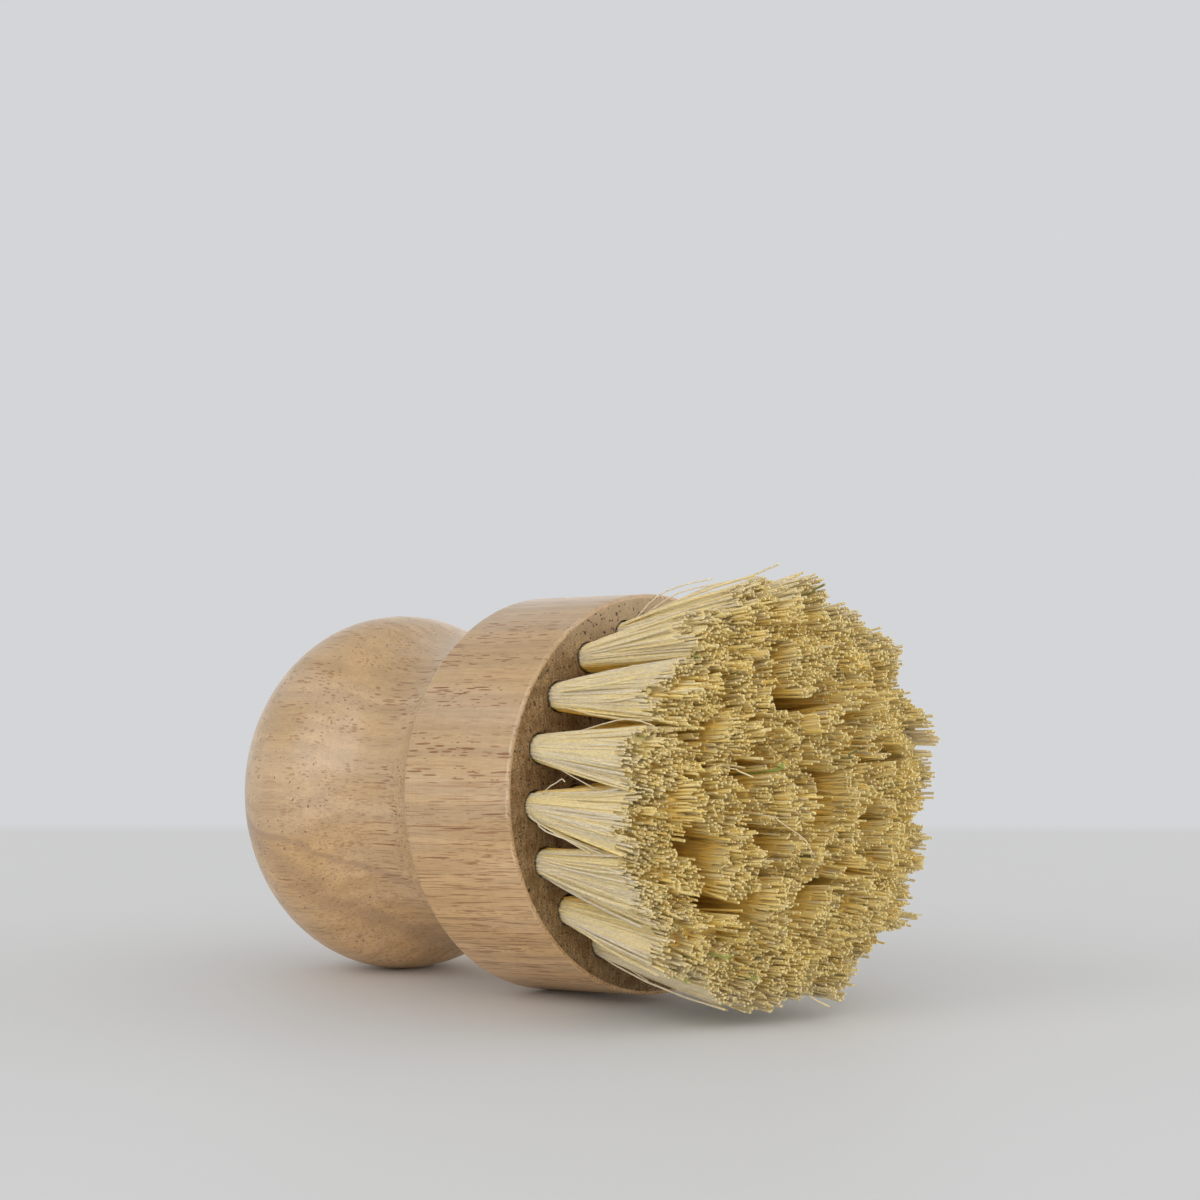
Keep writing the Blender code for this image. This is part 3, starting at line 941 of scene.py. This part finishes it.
def tuft_looks(outward, count, chance):
    """Tones, random and made creamier as painted light where fibres are turned out, and how much painted
    golden shade the depths get, also of the pack.
    """
    # Painted light: turned-out fibres are paler
    tones = INSIDE_TONE - PAINTED_LIGHT_ON_TURNED_OUT * outward[:count] + chance.normal(0.0, TONE_VARIATION, count)
    tones = np.clip(tones, 0.0, GOLDEN_TONE)
    odd = chance.random(count) < ODD_SHARE
    tones = np.where(odd, chance.uniform(*ODD_TONES, count), tones)
    # Painted golden shade in the depths, none for fibres turned out of the brush
    painted_depth_shade = GOLD_MOST * np.clip((GOLD_UNTIL - outward) / GOLD_FADE, 0.0, 1.0)
    painted_depth_shade[:count] *= tones <= GOLDEN_TONE
    painted_depth_shade[count:] *= PACK_GOLD_SHARE
    pack_tones = PACK_TONE - PAINTED_LIGHT_ON_PACK_SIDE * outward[count:]
    return {"tone": np.concatenate([tones, pack_tones]), "painted_depth_shade": painted_depth_shade}


def make_tufts(places, material):
    for index, (name, ring, place) in enumerate(places):
        chance = np.random.default_rng(FIRST_SEED + index)
        paths, pack, outward = tuft_paths(name, ring, np.array(place.translation.xy), chance)
        thickness = np.clip(chance.normal(1.0, RADIUS_VARIATION, len(paths)), *RADIUS_SHARES)
        looks = tuft_looks(outward, len(paths), chance)
        mesh = fibre_mesh(f"fibres_{name}", paths, FIBRE_RADIUS * thickness, looks, chance, material, pack)
        add_piece(new_object(f"fibres_{name}", mesh, BRUSH), f"tuft_{name}")


def seen_at(across, down, height):
    """The point of the brush's frame that shows at a pixel of the photograph, at a height over the face."""
    middle = IMAGE_SIDE / 2
    towards = LENS_TURN @ Vector(((across - middle) / FOCAL_PIXELS, (middle - down) / FOCAL_PIXELS, -1.0))
    back = BRUSH.inverted()
    start = back @ CAMERA_AT
    towards = back.to_3x3() @ towards
    return start + towards * ((height * MM - start.z) / towards.z)


def smooth_path(points):
    """Even steps along a curve through the points."""
    points = np.array(points)
    ends = np.vstack([2 * points[0] - points[1], points, 2 * points[-1] - points[-2]])
    shares = np.linspace(0.0, len(points) - 1.0, STRAY_STEPS)
    path = []
    for share in shares:
        first = min(int(share), len(points) - 2)
        t = share - first
        before, start, end, after = ends[first : first + 4]
        path.append(
            0.5
            * (
                2 * start
                + (end - before) * t
                + (2 * before - 5 * start + 4 * end - after) * t**2
                + (3 * start - before - 3 * end + after) * t**3
            )
        )
    return path


def make_strays(places, material):
    """Each stray fibre grows from the hole that is nearest to where it first shows."""
    chance = np.random.default_rng(FIRST_SEED - 1)
    paths = []
    for _, _, seen in STRAYS:
        shown = [seen_at(*point) for point in seen]
        fan = 1 + SPLAY * shown[0].z / FIBRE_LENGTH
        holes = [place.translation for _, _, place in places]
        hole = min(holes, key=lambda spot: (spot.xy * fan - shown[0].xy).length)
        root = hole + Vector((0.0, 0.0, FIBRE_STATIONS[0]))
        mouth = hole.lerp(Vector((shown[0].x, shown[0].y, 0.0)), STRAY_MOUTH_SHARE)
        paths.append(smooth_path([root, mouth] + shown))
    radii = np.array([radius for radius, _, _ in STRAYS]) * MM
    looks = {"tone": np.array([tone for _, tone, _ in STRAYS]), "painted_depth_shade": np.zeros(len(STRAYS))}
    mesh = fibre_mesh("stray_fibres", np.array(paths), radii, looks, chance, material)
    add_piece(new_object("stray_fibres", mesh, BRUSH), None)


# Table, light and camera
TABLE_COLOUR = colour(0.625, 0.625, 0.62)
BACKDROP_COLOUR = colour(0.655, 0.664, 0.683)
TABLE_ROUGHNESS = 0.6
TABLE_REACH = 3.0
TABLE_END = 0.772
TABLE_END_BLUR = 0.012
SKY_LOW_COLOUR = colour(1.03, 0.99, 0.94)
SKY_HIGH_COLOUR = colour(0.97, 0.985, 1.01)
SKY_LOW = 1.56
SKY_HIGH = 0.50
SKY_FRONT = Vector((0.98, 0.10, 0.0))
SKY_BACK_SHARE = 0.58
SKY_FRONT_SHARE = 1.50
KEY_FROM = Vector((-0.16, -0.95, 0.66))
KEY_SIDE = 0.6
KEY_POWER = 2.6
NEAR_CLIP = 10.0 * MM


def make_table():
    """A table top that fades into the backdrop behind the brush, as the blurred table edge does."""
    made, tree = new_material("table")
    sockets = {"Base Color": TABLE_COLOUR, "Roughness": TABLE_ROUGHNESS}
    shader = node(tree, "ShaderNodeBsdfPrincipled", sockets)
    place = node(tree, "ShaderNodeTexCoord").outputs["Object"]
    away = along_way(tree, vector(tree, "SUBTRACT", place, tuple(CAMERA_AT)), tuple(LEVEL))
    behind = ramp(tree, away, TABLE_END - TABLE_END_BLUR, TABLE_END + TABLE_END_BLUR)
    ray = node(tree, "ShaderNodeLightPath")
    seen = calculate(tree, "MAXIMUM", ray.outputs["Is Camera Ray"], ray.outputs["Is Glossy Ray"])
    backdrop = node(tree, "ShaderNodeEmission", {"Color": BACKDROP_COLOUR, "Strength": 1.0})
    share = product(tree, behind, seen)
    mix = node(tree, "ShaderNodeMixShader", {0: share, 1: shader.outputs[0], 2: backdrop.outputs[0]})
    node(tree, "ShaderNodeOutputMaterial", {"Surface": mix.outputs[0]})
    low, high = -TABLE_REACH, TABLE_REACH
    corners = [(low, low, 0.0), (high, low, 0.0), (high, high, 0.0), (low, high, 0.0)]
    mesh = bpy.data.meshes.new("table")
    mesh.from_pydata(corners, [], [(0, 1, 2, 3)])
    mesh.materials.append(made)
    new_object("table", mesh)


def make_light():
    """A soft sky, brighter low down and in front of the brush, and one large lamp."""
    world = bpy.data.worlds.new("studio")
    bpy.context.scene.world = world
    world.use_nodes = True
    tree = world.node_tree
    tree.nodes.clear()
    ray = node(tree, "ShaderNodeLightPath")
    seen = calculate(tree, "MAXIMUM", ray.outputs["Is Camera Ray"], ray.outputs["Is Transmission Ray"])
    way = node(tree, "ShaderNodeTexCoord").outputs["Generated"]
    front = along_way(tree, way, SKY_FRONT)
    up = node(tree, "ShaderNodeSeparateXYZ", {0: way}).outputs[2]
    strength = product(
        tree,
        ramp(tree, up, 0.0, 0.95, SKY_LOW, SKY_HIGH),
        ramp(tree, front, -0.9, 0.6, SKY_BACK_SHARE, SKY_FRONT_SHARE),
    )
    tint = mixed(tree, ramp(tree, up, 0.0, 0.6), SKY_LOW_COLOUR, SKY_HIGH_COLOUR)
    sky = node(tree, "ShaderNodeBackground", {"Color": tint, "Strength": strength})
    backdrop = node(tree, "ShaderNodeBackground", {"Color": BACKDROP_COLOUR, "Strength": 1.0})
    mix = node(tree, "ShaderNodeMixShader", {0: seen, 1: sky.outputs[0], 2: backdrop.outputs[0]})
    node(tree, "ShaderNodeOutputWorld", {"Surface": mix.outputs[0]})
    key = bpy.data.lights.new("key", "AREA")
    key.shape = "SQUARE"
    key.size = KEY_SIDE
    key.energy = KEY_POWER
    lamp = new_object("key", key)
    lamp.location = KEY_FROM
    lamp.rotation_euler = (-KEY_FROM).to_track_quat("-Z", "Y").to_euler()


def make_camera():
    lens = bpy.data.cameras.new("camera")
    lens.sensor_width = SENSOR_MM
    lens.lens = SENSOR_MM * FOCAL_PIXELS / IMAGE_SIDE
    lens.clip_start = NEAR_CLIP
    camera = new_object("camera", lens)
    camera.matrix_world = Matrix.Translation(CAMERA_AT) @ LENS_TURN.to_4x4()
    bpy.context.scene.camera = camera


def main():
    make_camera()
    make_light()
    make_table()
    places = hole_places()
    make_handle(places)
    fibre = plant_fibre()
    make_tufts(places, fibre)
    make_strays(places, fibre)
    bpy.context.scene.view_settings.view_transform = "Standard"


main()
